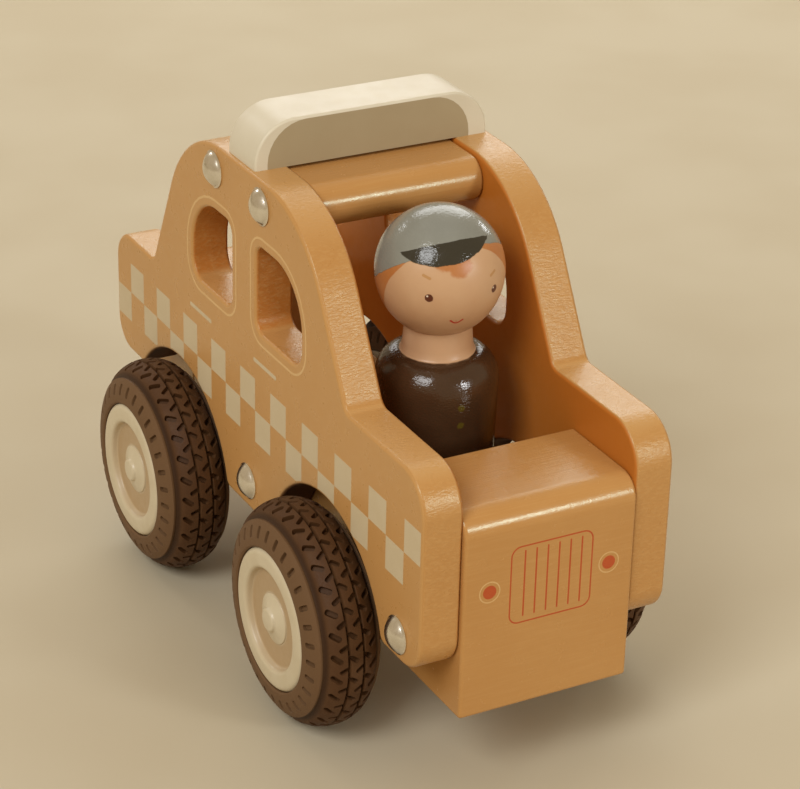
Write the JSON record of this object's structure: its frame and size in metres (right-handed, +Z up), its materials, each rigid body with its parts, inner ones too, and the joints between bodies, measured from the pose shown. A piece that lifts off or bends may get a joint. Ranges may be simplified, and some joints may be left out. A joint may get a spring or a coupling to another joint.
{
  "type": "toy taxi",
  "caption": "Wooden push-along toy taxi with thick side panels, rubber-tyred wheels that roll freely, a roof sign and a loose peg driver that lifts out of the open cabin.",
  "frame": {"origin": "on the ground under the middle of the body", "axes": "+Z up, -Y towards the front of the car, +X to the driver's left"},
  "size_m": [0.0892, 0.1644, 0.1284],
  "materials": {
    "body_paint": "satin ochre paint over wood",
    "sign_paint": "satin off-white paint over wood",
    "figure_paint": "gloss paints over turned wood",
    "bare_wood": "raw turned wood",
    "tyre_rubber": "matt brown rubber",
    "hub_plastic": "moulded cream plastic",
    "nail_nickel": "polished nickel",
    "axle_steel": "drawn steel",
    "screw_steel": "zinc plated steel",
    "pale_print": "printed pale ink",
    "rust_print": "printed rust-red ink",
    "tan_print": "printed tan ink"
  },
  "bodies": {
    "taxi_body": {"left_side_panel": "body_paint", "right_side_panel": "body_paint", "bonnet_block": "body_paint", "boot_block": "body_paint", "chassis_board": "body_paint", "cabin_floor": "body_paint", "roof_plank": "body_paint", "roof_sign": "sign_paint", "sign_dowels": "bare_wood", "boot_dowels": "bare_wood", "left_dome_nails": "nail_nickel", "right_dome_nails": "nail_nickel", "chassis_screws": "screw_steel"},
    "front_wheelset": {"front_axle": "axle_steel", "front_washers": "hub_plastic", "front_left_hub": "hub_plastic", "front_left_tyre": "tyre_rubber", "front_left_cap": "hub_plastic", "front_right_hub": "hub_plastic", "front_right_tyre": "tyre_rubber", "front_right_cap": "hub_plastic"},
    "rear_wheelset": {"rear_axle": "axle_steel", "rear_washers": "hub_plastic", "rear_left_hub": "hub_plastic", "rear_left_tyre": "tyre_rubber", "rear_left_cap": "hub_plastic", "rear_right_hub": "hub_plastic", "rear_right_tyre": "tyre_rubber", "rear_right_cap": "hub_plastic"},
    "driver": {"driver_figure": "figure_paint"}
  },
  "joints": [
    {"name": "front_wheels_roll", "type": "hinge", "parent": "taxi_body", "child": "front_wheelset", "pos_m": [0, -0.03595, 0.0262], "axis": [1, 0, 0], "continuous": true},
    {"name": "rear_wheels_roll", "type": "hinge", "parent": "taxi_body", "child": "rear_wheelset", "pos_m": [0, 0.04285, 0.0262], "axis": [1, 0, 0], "continuous": true},
    {"name": "driver_lift", "type": "slide", "parent": "taxi_body", "child": "driver", "axis": [0, 0, 1], "range_m": [0, 0.09]}
  ]
}
